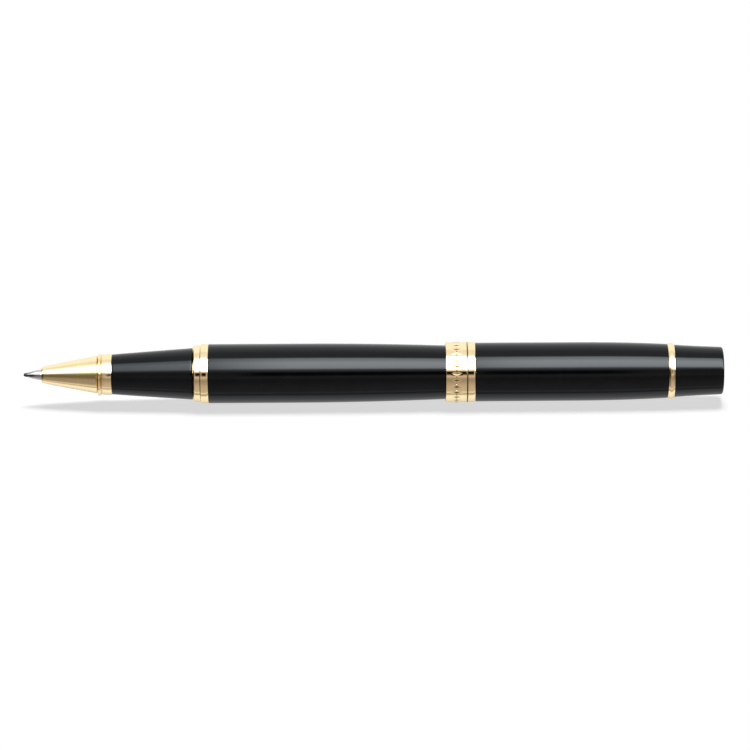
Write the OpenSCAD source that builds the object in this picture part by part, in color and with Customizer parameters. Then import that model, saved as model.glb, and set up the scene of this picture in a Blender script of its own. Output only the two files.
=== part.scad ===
// Rollerball pen with its cap posted on the rear of the barrel.
// The axis of the pen is X. X = 0 is the front of the rolling ball, and the flat end of the cap is at
// pen_length. The pen lies on a table: +Z is up, and the clip points down and back, where it stops the
// pen from rolling.
// Outlines are lists of [x, radius] points, turned about X.

/* [Writing point] */
// Diameter of the rolling ball
ball_d = 0.7; // [0.5:0.1:0.9]
// Diameter of the straight part of the steel point
point_d = 2.22; // [2.1:0.02:2.3]
// How far the steel point stands out of the nose cone
point_reach = 3.9; // [3.4:0.1:4.4]

/* [Refill] */
// Length of the refill, from the ball to its tail
refill_len = 110; // [109:0.5:111]
// Diameter of the refill's tube
refill_d = 6.1; // [5.9:0.05:6.1]

/* [Front section] */
// Length of the nose cone in front of its bead
cone_len = 11.8; // [11:0.1:12]
// Radius of the nose cone behind its mouth
cone_front_r = 1.7; // [1.6:0.05:1.8]
// Radius of the nose cone in front of its bead
cone_rear_r = 3.98; // [3.9:0.02:4.1]
// Width of the bead
bead_w = 0.95; // [0.7:0.05:1.1]
// Radius over the bead
bead_r = 4.45; // [4.4:0.05:4.6]
// Length of the collar behind the bead
collar_len = 2.1; // [2:0.05:2.6]
// Radius of the collar
collar_r = 4.32; // [4.28:0.02:4.4]
// Length of the black grip
grip_len = 17; // [16:0.1:18]
// Radius of the grip at its front
grip_front_r = 4.24; // [4.2:0.02:4.3]
// Radius of the grip at its rear
grip_rear_r = 5.47; // [5.4:0.02:5.5]

/* [Rings] */
// Width of the ring that stays with the section
section_ring_w = 1.6; // [1.4:0.1:1.7]
// Radius of the ring that stays with the section
section_ring_r = 6.04; // [5.9:0.02:6.04]
// Width of the ring that stays with the barrel
barrel_ring_w = 1.7; // [1.5:0.05:1.9]
// Radius of the ring that stays with the barrel
barrel_ring_r = 6.36; // [6.32:0.02:6.4]

/* [Barrel] */
// Radius of the barrel's straight front part
barrel_r = 6.28; // [6.24:0.02:6.32]
// Length of the barrel's shell
barrel_len = 77.3; // [77:0.05:78]
// Length of the straight part, before the barrel narrows
barrel_straight = 19; // [17:1:21]
// Thickness of the barrel's wall
barrel_wall = 0.55; // [0.5:0.05:0.6]

/* [Screw] */
// Pitch of the screw between section and barrel
screw_pitch = 0.8; // [0.75:0.05:0.85]
// Crest radius of the section's thread
screw_r = 4.5; // [4.48:0.01:4.52]

/* [Cap] */
// Where the mouth of the posted cap lies, measured from the ball
cap_mouth = 89.05; // [89:0.05:92]
// Radius of the band at the cap's mouth
band_r = 6.43; // [6.4:0.01:6.5]
// Width of the band
band_w = 6.35; // [6.2:0.05:7]
// Number of lozenges engraved around the band
ornament_count = 28; // [20:2:32]
// Radius of the cap behind the band
cap_r = 6.24; // [6.22:0.02:6.3]
// Where the cap's shell ends
cap_end = 135.85; // [135.8:0.05:136.4]
// Width of the thin ring at the top of the cap
ring_w = 1.45; // [1.3:0.05:1.6]
// Radius over the thin ring at the top of the cap
clip_ring_r = 5.96; // [5.86:0.02:6]
// Radius of the black end piece where it meets the ring
finial_front_r = 5.55; // [5.5:0.01:5.6]
// Radius of the black end piece at its rounded edge
finial_rear_r = 5.07; // [5:0.02:5.2]
// Overall length with the cap posted
pen_length = 147.6; // [147:0.1:150]

/* [Clip] */
// How far the clip is turned from straight down towards the back, in degrees
clip_angle = 52; // [51:0.5:53]
// Radius over the clip, from the pen's axis
clip_r = 8.4; // [8.3:0.05:8.6]
// Thickness of the clip's bar
clip_t = 1.2; // [1.1:0.05:1.3]
// Half the width of the clip at its head
clip_head_w = 1.9; // [1.7:0.1:2.1]
// Half the width of the clip at its free end
clip_tip_w = 1.3; // [1.2:0.1:1.5]

/* [Hidden] */
$fn = 96;

BLACK = [0.06, 0.06, 0.07];
GOLD = [0.87, 0.72, 0.42];
BRASS = [0.80, 0.65, 0.33];
STEEL = [0.75, 0.76, 0.78];
GREY_PLASTIC = [0.55, 0.56, 0.58];

slip = 0.02;        // radial gap of a close fit between pieces that don't move
face_gap = 0.02;    // gap between faces that rest on each other
slide_gap = 0.15;   // radial gap round the refill, which slides
ball_gap = 0.01;    // gap between the ball and its seat
hair = 0.01;        // radial gap round a pressed-in pin or stud
arc_steps = 6;      // straight steps in a small rounded edge

// Stations along the pen
bead_x = point_reach + cone_len;
collar_x = bead_x + bead_w;
grip_x = collar_x + collar_len;
section_ring_x = grip_x + grip_len;
ring_gap = 0.1;       // between the two rings at the joint, and a little play for the loose one
barrel_ring_x = section_ring_x + section_ring_w + ring_gap;
barrel_x = barrel_ring_x + barrel_ring_w;
barrel_end_x = barrel_x + barrel_len;
plug_head = 1.5;      // how far the end plug stands out of the barrel
barrel_tail = barrel_end_x + plug_head;
wide_step = 0.72;     // the wide step's share of the band
groove_x = cap_mouth + wide_step * band_w;
shell_x = cap_mouth + band_w;
finial_x = cap_end + ring_w;

// Radius of the barrel's outside: straight, then a parabola that narrows towards the tail
barrel_taper = 6.05e-4;
function barrel_out(x) = barrel_r - barrel_taper * pow(max(0, x - barrel_x - barrel_straight), 2);

// Radius of the cap's outside: almost straight, then a parabola that narrows towards the top
cap_slope = 0.0015;
cap_taper = 1.42e-3;
cap_taper_x = 118;
function cap_out(x) = cap_r - cap_slope * (x - shell_x) - cap_taper * pow(max(0, x - cap_taper_x), 2);

// Radius of the clip's outer face, slightly arched
clip_arch = 9e-4;
clip_crown_x = 118;
function clip_out(x) = clip_r - clip_arch * pow(x - clip_crown_x, 2);

// Points on an arc in the [x, radius] plane, from angle a to angle b
function arc(x, r, size, a, b, steps = arc_steps) =
    [for (i = [0:steps]) let (t = a + (b - a) * i / steps) [x + size * cos(t), r + size * sin(t)]];

// n + 1 evenly spaced numbers from a to b
function steps_between(a, b, n) = [for (i = [0:n]) a + (b - a) * i / n];

// A solid turned about X from a closed outline of [x, radius] points
module turned(outline) {
    rotate([0, 90, 0])
        rotate_extrude()
            polygon([for (p = outline) [p[1], p[0]]]);
}

// A rod from x = a to x = b
module rod(a, b, r) {
    translate([a, 0, 0])
        rotate([0, 90, 0])
            cylinder(h = b - a, r = r);
}

// A tube from x = a to x = b
module tube(a, b, outer, inner) {
    turned([[a, inner], [a, outer], [b, outer], [b, inner]]);
}

// Faces of a polyhedron made of count rings with corners points each, closed at both ends
function ring_faces(count, corners) = concat(
    [[for (k = [corners - 1:-1:0]) k]],
    [for (i = [0:count - 2]) for (k = [0:corners - 1])
        let (a = i * corners + k, b = i * corners + (k + 1) % corners)
        [a, b, b + corners, a + corners]],
    [[for (k = [0:corners - 1]) (count - 1) * corners + k]]);

// A right-hand helical ridge about X. Its section is a trapezoid from root_r to crest_r.
ridge_steps = 24;
ridge_root = 0.30;   // half the ridge's width at its root
ridge_crest = 0.10;  // half the ridge's width at its crest
module ridge(from_x, turns, root_r, crest_r, phase = 0) {
    section = [[-ridge_root, root_r], [-ridge_crest, crest_r], [ridge_crest, crest_r], [ridge_root, root_r]];
    count = round(turns * ridge_steps) + 1;
    points = [for (i = [0:count - 1]) for (p = section)
        let (turn = 360 * i / ridge_steps, x = from_x + screw_pitch * i / ridge_steps + p[0])
        [x, p[1] * cos(turn + phase), p[1] * sin(turn + phase)]];
    outward = crest_r > root_r;
    faces = ring_faces(count, len(section));
    polyhedron(points, outward ? faces : [for (f = faces) [for (k = [len(f) - 1:-1:0]) f[k]]]);
}

// A compression spring about X. The first and the last turn are closed up: they rise by little more
// than the wire's diameter.
wire_sides = 8;
coil_steps = 16;
closed_pitch = 1.06;   // pitch of a closed turn, in wire diameters
module coil_spring(from_x, to_x, mean_r, wire_r, turns) {
    count = round(turns * coil_steps) + 1;
    travel = to_x - from_x - 2 * wire_r;
    closed = 2 * wire_r * closed_pitch;
    lift = (travel - 2 * closed) / (turns - 2);
    function along(t) = t < 1 ? t * closed
        : t > turns - 1 ? travel - (turns - t) * closed
        : closed + (t - 1) * lift;
    points = [for (i = [0:count - 1]) for (k = [0:wire_sides - 1])
        let (t = i / coil_steps, turn = 360 * t, a = 360 * k / wire_sides, r = mean_r + wire_r * cos(a))
        [from_x + wire_r + along(t) + wire_r * sin(a), r * cos(turn), r * sin(turn)]];
    polyhedron(points, [for (f = ring_faces(count, wire_sides)) [for (k = [len(f) - 1:-1:0]) f[k]]]);
}

// ---- Refill ----

ball_r = ball_d / 2;
seat_r = ball_r + ball_gap;
rim_x = 0.22;              // front of the crimped rim that keeps the ball in
point_r = point_d / 2;
ogive = [[0.32, 0.385], [0.8, 0.47], [1.25, 0.595], [1.75, 0.76], [2.2, 0.885], [2.65, 0.985], [3.1, 1.06]];
ink_channel_r = 0.14;      // the fine bore from the wick to the ball
point_flange_x = 8;
point_flange_r = 1.5;
point_tail_x = 9;
point_tail_r = 1.2;        // the spigot inside the plastic nose
point_end_x = 12;
refill_r = refill_d / 2;
tube_bore = refill_r - 0.35;
nose_r = 1.9;
nose_step_x = 16.9;
nose_step_r = 2.6;
nose_flange_x = 23.7;
tube_x = 25.5;
nose_tail_x = 28.5;
plug_x = refill_len - 2;   // the plug's flange closes the tube behind this
plug_depth = 2;            // how far the plug reaches into the tube
air_hole_r = 0.4;
spring_seat_r = 2.85;
spring_seat = 0.5;         // depth of the recess for the spring
wick_r = 0.55;
wick_bore = wick_r + 0.04;
wick_x = 2.5;
wick_tail_x = 34;

// The ball that rolls the ink onto the paper
module rolling_ball() {
    color(STEEL)
        translate([ball_r, 0, 0])
            sphere(r = ball_r);
}

// The steel point: an ogive that holds the ball, a flange and a spigot for the plastic nose
module refill_point() {
    color(STEEL)
        difference() {
            turned(concat(
                [[rim_x, 0], [rim_x, 0.35]],
                ogive,
                [[3.6, point_r], [point_flange_x, point_r], [point_flange_x, point_flange_r],
                 [point_tail_x, point_flange_r], [point_tail_x, point_tail_r], [point_end_x, point_tail_r],
                 [point_end_x, 0]]));
            translate([ball_r, 0, 0])
                sphere(r = seat_r);
            rod(ball_r, wick_x, ink_channel_r);
            rod(wick_x - 0.1, point_end_x + 0.1, wick_bore);
        }
}

// The plastic nose: it holds the steel point, steps up twice, and plugs the front of the tube
module refill_nose() {
    color(GREY_PLASTIC)
        turned([
            [point_tail_x, point_tail_r + slip], [point_tail_x, nose_r], [nose_step_x, nose_r],
            [nose_step_x, nose_step_r], [nose_flange_x, nose_step_r], [nose_flange_x, refill_r],
            [tube_x, refill_r], [tube_x, tube_bore - slip], [nose_tail_x, tube_bore - slip],
            [nose_tail_x, wick_bore], [point_end_x + face_gap, wick_bore],
            [point_end_x + face_gap, point_tail_r + slip]
        ]);
}

// The metal tube that holds the ink rod
module refill_tube() {
    color(STEEL)
        tube(tube_x + face_gap, plug_x - face_gap, refill_r, tube_bore);
}

// The tail plug, with an air hole and a recess that centres the spring
module refill_plug() {
    color(GREY_PLASTIC)
        turned([
            [plug_x - plug_depth, air_hole_r], [plug_x - plug_depth, tube_bore - slip],
            [plug_x, tube_bore - slip], [plug_x, refill_r], [refill_len, refill_r],
            [refill_len, spring_seat_r], [refill_len - spring_seat, spring_seat_r],
            [refill_len - spring_seat, air_hole_r]
        ]);
}

// The fibre rod that holds the ink
module ink_reservoir() {
    color("navy")
        difference() {
            rod(nose_tail_x + 0.3, plug_x - plug_depth - 0.5, tube_bore - 0.08);
            rod(nose_tail_x, wick_tail_x + 0.1, wick_r + slip);
        }
}

// The feed from the fibre rod to the ball
module ink_wick() {
    color("white")
        rod(wick_x, wick_tail_x, wick_r);
}

// ---- Front section ----

mouth_bore = 1.24;                 // the nose cone's bore round the steel point
nose_bore = nose_r + slide_gap;
nose_step_bore = nose_step_r + slide_gap;
spigot_end_x = 23.5;
spigot_r = 3.45;
sleeve_r = 4.05;
sleeve_x = spigot_end_x + 0.12;
sleeve_bore = refill_r + slide_gap;
lip_x = section_ring_x + 0.72;     // the lip on the sleeve that the loose ring hooks behind
lip_end_x = section_ring_x + 1.35;
lip_r = 5.1;
shoulder_r = 4.85;
ring_play = 0.05;                  // between the loose ring and the shoulder it turns on
pilot_r = 4.65;
screw_x = barrel_x + 1.6;
screw_turns = 6.5;
thread_depth = 0.42;
thread_gap = 0.12;                 // radial gap over the crests
screw_root = screw_r - thread_depth;
sleeve_end_x = screw_x + screw_pitch * screw_turns + 0.75;

// Radius of the cone's outside, slightly crowned between its mouth and its bead
cone_crown = 0.06;
function cone_out(x) = let (u = (x - point_reach) / cone_len)
    cone_front_r + (cone_rear_r - cone_front_r) * u + 4 * cone_crown * u * (1 - u);

// The gilt nose: cone, bead and collar outside, a stepped bore inside, and a spigot for the grip
module nose_cone() {
    color(GOLD)
        turned(concat(
            [[point_reach, mouth_bore], [point_reach, cone_front_r - 0.14]],
            arc(point_reach + 0.16, cone_front_r - 0.14, 0.16, 180, 100),
            [for (x = steps_between(point_reach + 0.6, bead_x, 6)) [x, cone_out(x)]],
            arc(bead_x + bead_w / 2, bead_r - 0.4, 0.4, 155, 35),
            [[collar_x + 0.02, collar_r - 0.12], [collar_x + 0.14, collar_r],
             [grip_x - 0.15, collar_r], [grip_x, collar_r - 0.1],
             [grip_x, spigot_r], [spigot_end_x, spigot_r], [spigot_end_x, nose_step_bore],
             [nose_step_x - face_gap, nose_step_bore], [nose_step_x - face_gap, nose_bore],
             [point_flange_x - 0.4, nose_bore], [point_flange_x - 1, mouth_bore]]));
}

// The black grip, slightly crowned
grip_crown = 3e-4;
function grip_out(x) = let (u = x - grip_x) grip_front_r
    + (grip_rear_r - grip_front_r + grip_crown * grip_len * grip_len) * u / grip_len - grip_crown * u * u;
module grip_shell() {
    color(BLACK)
        turned(concat(
            [[grip_x + face_gap, spigot_r + slip], [grip_x + face_gap, grip_out(grip_x) - 0.1]],
            [for (x = steps_between(grip_x + 0.12, section_ring_x - 0.12, 8)) [x, grip_out(x)]],
            [[section_ring_x, grip_rear_r - 0.1], [section_ring_x, sleeve_r + slip],
             [spigot_end_x + 0.1, sleeve_r + slip], [spigot_end_x + 0.1, spigot_r + slip]]));
}

// The brass tube that joins grip and barrel: a seat for the loose ring, a pilot and a thread
module section_sleeve() {
    color(BRASS)
        union() {
            turned([
                [sleeve_x, sleeve_bore], [sleeve_x, sleeve_r],
                [section_ring_x + face_gap, sleeve_r], [section_ring_x + face_gap, shoulder_r],
                [lip_x, shoulder_r], [lip_x, lip_r], [lip_end_x, lip_r], [lip_end_x, pilot_r],
                [screw_x - 0.5, pilot_r], [screw_x - 0.4, screw_root], [sleeve_end_x - 0.3, screw_root],
                [sleeve_end_x, screw_root - 0.3], [sleeve_end_x, sleeve_bore]
            ]);
            ridge(screw_x + 0.1, screw_turns, screw_root - 0.05, screw_r);
        }
}

// The loose ring between grip and barrel: the sleeve's lip holds it, and it stays free to turn
module section_ring() {
    front = section_ring_x + 0.05;
    rear = barrel_ring_x - 0.03;
    rounding = 0.55;
    color(GOLD)
        turned(concat(
            [[front, shoulder_r + ring_play], [front, section_ring_r - rounding]],
            arc(front + rounding, section_ring_r - rounding, rounding, 175, 90),
            [[rear - 0.12, section_ring_r], [rear, section_ring_r - 0.12],
             [rear, lip_r + 0.06], [lip_x - face_gap, lip_r + 0.06],
             [lip_x - face_gap, shoulder_r + ring_play]]));
}

// ---- Barrel ----

bush_x = barrel_ring_x + 0.05;
bush_end_x = sleeve_end_x + 0.9;
bush_nose_r = 5.28;                // the front of the bush, which carries the barrel's ring
bush_bore = pilot_r + 0.07;
nut_root = screw_r + thread_gap;
nut_crest = screw_root + 0.14;
tail_sleeve_x = refill_len - 6;
tail_sleeve_end_x = barrel_end_x - 0.5;
tail_sleeve_r = 3.5;
tail_bore = refill_r + slide_gap;
boss_x = barrel_end_x - 1.3;       // front of the boss inside the barrel
plug_edge_r = 0.7;

// The ring on the front of the barrel, rounded on its front edge
module barrel_ring() {
    rounding = 0.3;
    color(GOLD)
        turned(concat(
            [[barrel_ring_x, bush_nose_r + slip], [barrel_ring_x, barrel_ring_r - 0.26]],
            arc(barrel_ring_x + rounding, barrel_ring_r - rounding, rounding, 165, 90),
            [[barrel_x - 0.4, barrel_ring_r], [barrel_x - 0.05, barrel_ring_r - 0.06],
             [barrel_x - face_gap, barrel_ring_r - 0.12], [barrel_x - face_gap, bush_nose_r + slip]]));
}

// The brass bush pressed into the front of the barrel, with the female thread
module thread_bush() {
    outer = barrel_r - barrel_wall - slip;
    color(BRASS)
        union() {
            turned([
                [bush_x, bush_bore], [bush_x, bush_nose_r], [barrel_x, bush_nose_r], [barrel_x, outer],
                [bush_end_x, outer], [bush_end_x, bush_bore], [sleeve_end_x - 0.4, bush_bore],
                [sleeve_end_x - 0.5, nut_root], [screw_x + 0.1, nut_root], [screw_x, bush_bore]
            ]);
            ridge(screw_x + 0.1 + screw_pitch / 2, screw_turns - 1, nut_root + 0.05, nut_crest);
        }
}

// The black barrel, open at both ends
module barrel_shell() {
    stations = steps_between(barrel_x + barrel_straight, barrel_end_x, 20);
    color(BLACK)
        turned(concat(
            [[barrel_x, barrel_r - 0.08], [barrel_x + 0.08, barrel_r]],
            [for (x = stations) [x, barrel_out(x)]],
            [for (i = [len(stations) - 1:-1:0]) [stations[i], barrel_out(stations[i]) - barrel_wall]],
            [[barrel_x, barrel_r - barrel_wall]]));
}

// The plastic sleeve that centres the refill's tail and houses its spring. A collar holds its front
// in the barrel, and the boss of the end plug holds its rear.
module tail_sleeve() {
    collar_at = tail_sleeve_x + 1;
    collar_out = barrel_out(collar_at) - barrel_wall - 0.03;
    color(GREY_PLASTIC)
        turned([
            [tail_sleeve_x, tail_bore + 0.25], [tail_sleeve_x, collar_out], [collar_at, collar_out],
            [collar_at, tail_sleeve_r], [tail_sleeve_end_x, tail_sleeve_r], [tail_sleeve_end_x, tail_bore],
            [tail_sleeve_x + 0.5, tail_bore]
        ]);
}

// The plug that closes the barrel
module barrel_end() {
    outer = barrel_out(barrel_end_x);
    spigot = outer - barrel_wall - slip;
    shoulder_x = tail_sleeve_end_x + face_gap;
    color(BLACK)
        turned(concat(
            [[boss_x, 0], [boss_x, tail_bore - slip], [shoulder_x, tail_bore - slip], [shoulder_x, spigot],
             [barrel_end_x + face_gap, spigot], [barrel_end_x + face_gap, outer]],
            arc(barrel_tail - plug_edge_r, outer - plug_edge_r - 0.05, plug_edge_r, 80, 0),
            [[barrel_tail, 0]]));
}

// The small spring that keeps the refill pressed into the nose
module refill_spring() {
    color(STEEL)
        coil_spring(refill_len - spring_seat + face_gap, boss_x - face_gap, 2.5, 0.22, 7);
}

// ---- Cap ----

spigot_out = 6.06;                 // the shell's spigot inside the band
cap_bore = 5.85;                   // the shell's bore round the clutch
mouth_lip = 5.73;                  // the lip that keeps the clutch in
shell_front = cap_mouth + 1.8;
clutch_x = shell_front + 0.4;
clutch_end_x = cap_mouth + 14;
clutch_t = 0.2;                    // thickness of the clutch's steel
clutch_ring = 3.2;                 // length of the clutch that has no slots
inner_x = clutch_end_x + 0.2;
inner_bore_r = 5.72;               // the shell's bore round the inner cap
inner_step_x = 122.8;
top_bore_r = 5.35;
carrier_x = 127.5;
seal_r = 4.85;                     // the inner cap's bore, wide enough for the nose
seal_x = 121.5;                    // from here the bore narrows towards its closed end
seal_top_x = 126.7;

// What is engraved around the band's wide step: lozenges, with a dot between each two
ornament_x = (cap_mouth + groove_x) / 2;
ornament_depth = 0.09;
lozenge_len = 1.8;
lozenge_w = 0.75;
dot_r = 0.16;
module ornament() {
    floor_r = band_r - ornament_depth;
    step = 360 / ornament_count;
    for (k = [0:ornament_count - 1]) {
        rotate([step * k, 0, 0])
            translate([ornament_x, 0, floor_r])
                linear_extrude(height = 1)
                    polygon([
                        [-lozenge_len / 2, 0], [0, -lozenge_w / 2], [lozenge_len / 2, 0], [0, lozenge_w / 2]
                    ]);
        rotate([step * (k + 0.5), 0, 0])
            translate([ornament_x, 0, floor_r])
                cylinder(h = 1, r = dot_r);
    }
}

// The band at the cap's mouth, before it is engraved: a wide step, a V groove, and a narrow step with
// a rounded edge
groove_w = 0.4;
groove_depth = 0.2;
edge_round = 1.6;
module band_profile() {
    turned(concat(
        [[cap_mouth, spigot_out + slip], [cap_mouth, band_r - 0.15], [cap_mouth + 0.08, band_r - 0.04],
         [cap_mouth + 0.2, band_r], [groove_x - groove_w / 2, band_r], [groove_x, band_r - groove_depth],
         [groove_x + groove_w / 2, band_r], [shell_x - 0.78, band_r]],
        arc(shell_x - 0.78, band_r - edge_round, edge_round, 88, 63, 5),
        [[shell_x - face_gap, cap_out(shell_x) - 0.08], [shell_x - face_gap, spigot_out + slip]]));
}

// The band with its engraving
module cap_band() {
    color(GOLD)
        difference() {
            band_profile();
            ornament();
        }
}

// The black shell of the cap, with a slot for the clip's neck
slot_front_x = 130.8;
slot_rear_x = 133.5;
neck_w = 0.85;                     // half the width of the clip's neck
shell_slot_w = neck_w + 0.12;      // half the width of the slot in the shell
carrier_slot_w = neck_w + 0.1;     // half the width of the slot in the carrier
module cap_shell() {
    stations = concat([shell_x + 0.08], steps_between(cap_taper_x, cap_end - 0.1, 10));
    color(BLACK)
        difference() {
            turned(concat(
                [[shell_front, mouth_lip], [shell_front, spigot_out], [shell_x, spigot_out],
                 [shell_x, cap_out(shell_x) - 0.08]],
                [for (x = stations) [x, cap_out(x)]],
                [[cap_end, cap_out(cap_end) - 0.1], [cap_end, top_bore_r], [inner_step_x + 0.1, top_bore_r],
                 [inner_step_x + 0.1, inner_bore_r], [inner_x, inner_bore_r], [inner_x, cap_bore],
                 [clutch_x - 0.1, cap_bore], [clutch_x - 0.1, mouth_lip]]));
            rotate([180 + clip_angle, 0, 0])
                translate([slot_front_x, -shell_slot_w, 0])
                    cube([slot_rear_x - slot_front_x, 2 * shell_slot_w, 8]);
        }
}

// The spring-steel clutch inside the mouth: a ring with fingers that grip the barrel
clutch_fingers = 8;
clutch_slot = 0.7;
module cap_clutch() {
    grip_at = clutch_x + 1;
    outer = cap_bore - 0.03;
    inner = outer - clutch_t;
    base_x = clutch_end_x - clutch_ring;
    color(STEEL)
        difference() {
            turned([
                [clutch_x, outer - 0.14], [clutch_x, outer], [clutch_end_x, outer], [clutch_end_x, inner],
                [base_x, inner], [grip_at + 0.9, inner], [grip_at + 0.2, barrel_out(grip_at) + 0.03],
                [grip_at - 0.2, barrel_out(grip_at) + 0.04], [grip_at - 0.8, outer - 0.16]
            ]);
            // each slot runs right across and makes two of the gaps between fingers
            for (k = [0:clutch_fingers / 2 - 1])
                rotate([360 * k / clutch_fingers, 0, 0])
                    translate([clutch_x - 1, -8, -clutch_slot / 2])
                        cube([base_x - clutch_x + 1, 16, clutch_slot]);
        }
}

// The plastic inner cap, which keeps the point from drying out
module inner_cap() {
    outer = inner_bore_r - slip;
    top = top_bore_r - slip;
    color(GREY_PLASTIC)
        turned([
            [inner_x + face_gap, 5.17], [inner_x + face_gap, outer], [inner_step_x, outer],
            [inner_step_x, top], [carrier_x - 0.3, top], [carrier_x - 0.3, 0], [seal_top_x, 0],
            [seal_top_x, 2.5], [seal_top_x - 0.4, 2.5], [seal_x, seal_r], [112, seal_r]
        ]);
}

// ---- Clip and its works, in the top of the cap ----

pivot_x = 132;
pivot_r = 3.2;       // distance from the pen's axis to the clip's pivot
pin_r = 0.6;
pin_half = 3.7;      // half the length of the pivot pin
eye_r = 1.1;
eye_gap = 0.03;      // radial gap between the clip's eye and the pin
neck_t = 0.9;        // half the thickness of the clip's neck
tail_t = 0.7;        // half the thickness of the clip's inner tail
tail_end_r = 0.9;
clip_tip_x = 98.8;
clip_head_x = 135.4;
bump_x = 101.6;      // the bump at the free end, which rests on the cap
bump_r = 0.9;
rest_gap = 0.03;     // between the bump and the cap
spring_r = 1.45;     // distance from the pen's axis to the clip spring's axis
coil_r = 0.82;       // mean radius of the clip spring's coils
coil_wire_r = 0.16;
pocket_r = 1.15;     // the spring's pocket in the carrier
pocket_x = carrier_x + 1;
stud_r = 1.5;
stud_x = 133.8;
stud_end_x = 143;

// Turns the clip's own frame, where the clip is straight up, to where it lies
module to_clip() {
    rotate([180 + clip_angle, 0, 0])
        children();
}

// The plastic block that holds the pivot pin, the clip's spring and the stud of the end piece
module clip_carrier() {
    color(GREY_PLASTIC)
        difference() {
            rod(carrier_x, cap_end - face_gap, top_bore_r - slip);
            to_clip() {
                translate([slot_front_x, -carrier_slot_w, 0.5])
                    cube([slot_rear_x - slot_front_x - 0.1, 2 * carrier_slot_w, 8]);
                translate([pivot_x, 0, pivot_r])
                    rotate([90, 0, 0])
                        cylinder(h = 20, r = pin_r + hair / 2, center = true);
                translate([0, 0, spring_r])
                    rod(pocket_x, slot_front_x + 0.1, pocket_r);
            }
            rod(stud_x - 0.1, cap_end + 1, stud_r + hair);
        }
}

// The pin that the clip swings on
module clip_pin() {
    color(STEEL)
        to_clip()
            translate([pivot_x, 0, pivot_r])
                rotate([90, 0, 0])
                    cylinder(h = 2 * pin_half, r = pin_r, center = true);
}

// The spring that pushes the clip's inner tail back, and so closes the clip
module clip_spring() {
    color(STEEL)
        to_clip()
            translate([0, 0, spring_r])
                coil_spring(pocket_x + face_gap, pivot_x - tail_t - rest_gap, coil_r, coil_wire_r, 6);
}

// The clip seen from the side: an arched bar with a bump that rests on the cap
module clip_side() {
    stations = steps_between(clip_tip_x, clip_head_x, 12);
    rotate([90, 0, 0])
        linear_extrude(height = 8, center = true)
            polygon(concat(
                [for (x = stations) [x, clip_out(x) + 0.5]],
                [for (i = [len(stations) - 1:-1:0]) [stations[i], clip_out(stations[i]) - clip_t]]));
}

// The clip seen from above: wide and round at the head, narrow and round at the free end
module clip_plan() {
    tip_c = clip_tip_x + clip_tip_w;
    head_c = clip_head_x - clip_head_w;
    linear_extrude(height = 12)
        polygon(concat(
            [for (i = [0:10]) let (t = 90 + 18 * i) [tip_c + clip_tip_w * cos(t), clip_tip_w * sin(t)]],
            [for (i = [0:10]) let (t = -90 + 18 * i) [head_c + clip_head_w * cos(t), clip_head_w * sin(t)]]));
}

// The solid under the clip's crowned outer face
module clip_crown() {
    stations = steps_between(clip_tip_x - 0.5, clip_head_x + 0.5, 12);
    turned(concat(
        [[clip_tip_x - 0.5, 0]], [for (x = stations) [x, clip_out(x)]], [[clip_head_x + 0.5, 0]]));
}

// The clip: bar, bump, neck, pivot eye and inner tail in one piece
module clip() {
    bump_z = cap_out(bump_x) + rest_gap + bump_r;
    color(GOLD)
        to_clip()
            difference() {
                union() {
                    intersection() {
                        clip_side();
                        clip_plan();
                        clip_crown();
                    }
                    translate([bump_x, 0, bump_z])
                        rotate([90, 0, 0])
                            cylinder(h = 2 * clip_tip_w - 0.5, r = bump_r, center = true);
                    translate([pivot_x - neck_t, -neck_w, pivot_r])
                        cube([2 * neck_t, 2 * neck_w, clip_out(pivot_x) - clip_t / 2 - pivot_r]);
                    translate([pivot_x, 0, pivot_r])
                        rotate([90, 0, 0])
                            cylinder(h = 2 * neck_w, r = eye_r, center = true);
                    translate([pivot_x - tail_t, -neck_w, tail_end_r])
                        cube([2 * tail_t, 2 * neck_w, pivot_r - tail_end_r]);
                }
                translate([pivot_x, 0, pivot_r])
                    rotate([90, 0, 0])
                        cylinder(h = 4, r = pin_r + eye_gap, center = true);
            }
}

// ---- End of the cap ----

ring_bore = 4.8;
ring_round = 0.72;   // radius of the ring's half-round face
edge_r = 1.05;       // rounding of the flat end

// The thin half-round ring between the shell and the black end piece
module clip_ring() {
    mid = (cap_end + finial_x) / 2;
    color(GOLD)
        turned(concat(
            [[cap_end + face_gap, ring_bore]],
            arc(mid, clip_ring_r - ring_round, ring_round, 160, 20, 8),
            [[finial_x - face_gap, ring_bore]]));
}

// Radius of the end piece, slightly hollow along its length
finial_hollow = 1.9e-3;
function finial_out(x) = let (u = x - finial_x, span = pen_length - edge_r - finial_x)
    finial_front_r - (finial_front_r - finial_rear_r + finial_hollow * span * span) * u / span
    + finial_hollow * u * u;

// The black end piece, with a spigot through the ring and a blind bore for the stud
module finial() {
    color(BLACK)
        turned(concat(
            [[cap_end + face_gap, stud_r + hair], [cap_end + face_gap, ring_bore - slip],
             [finial_x, ring_bore - slip], [finial_x, finial_front_r - 0.08]],
            [for (x = steps_between(finial_x + 0.1, pen_length - edge_r, 6)) [x, finial_out(x)]],
            arc(pen_length - edge_r, finial_rear_r - edge_r, edge_r, 80, 0),
            [[pen_length, 0], [stud_end_x + 0.1, 0], [stud_end_x + 0.1, stud_r + hair]]));
}

// The stud that fastens the end piece to the carrier
module finial_stud() {
    color(BRASS)
        rod(stud_x, stud_end_x, stud_r);
}

rolling_ball();
refill_point();
refill_nose();
refill_tube();
refill_plug();
ink_reservoir();
ink_wick();
nose_cone();
grip_shell();
section_sleeve();
section_ring();
barrel_ring();
thread_bush();
barrel_shell();
tail_sleeve();
barrel_end();
refill_spring();
cap_clutch();
cap_band();
cap_shell();
inner_cap();
clip_carrier();
clip_pin();
clip_spring();
clip();
clip_ring();
finial();
finial_stud();
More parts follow.
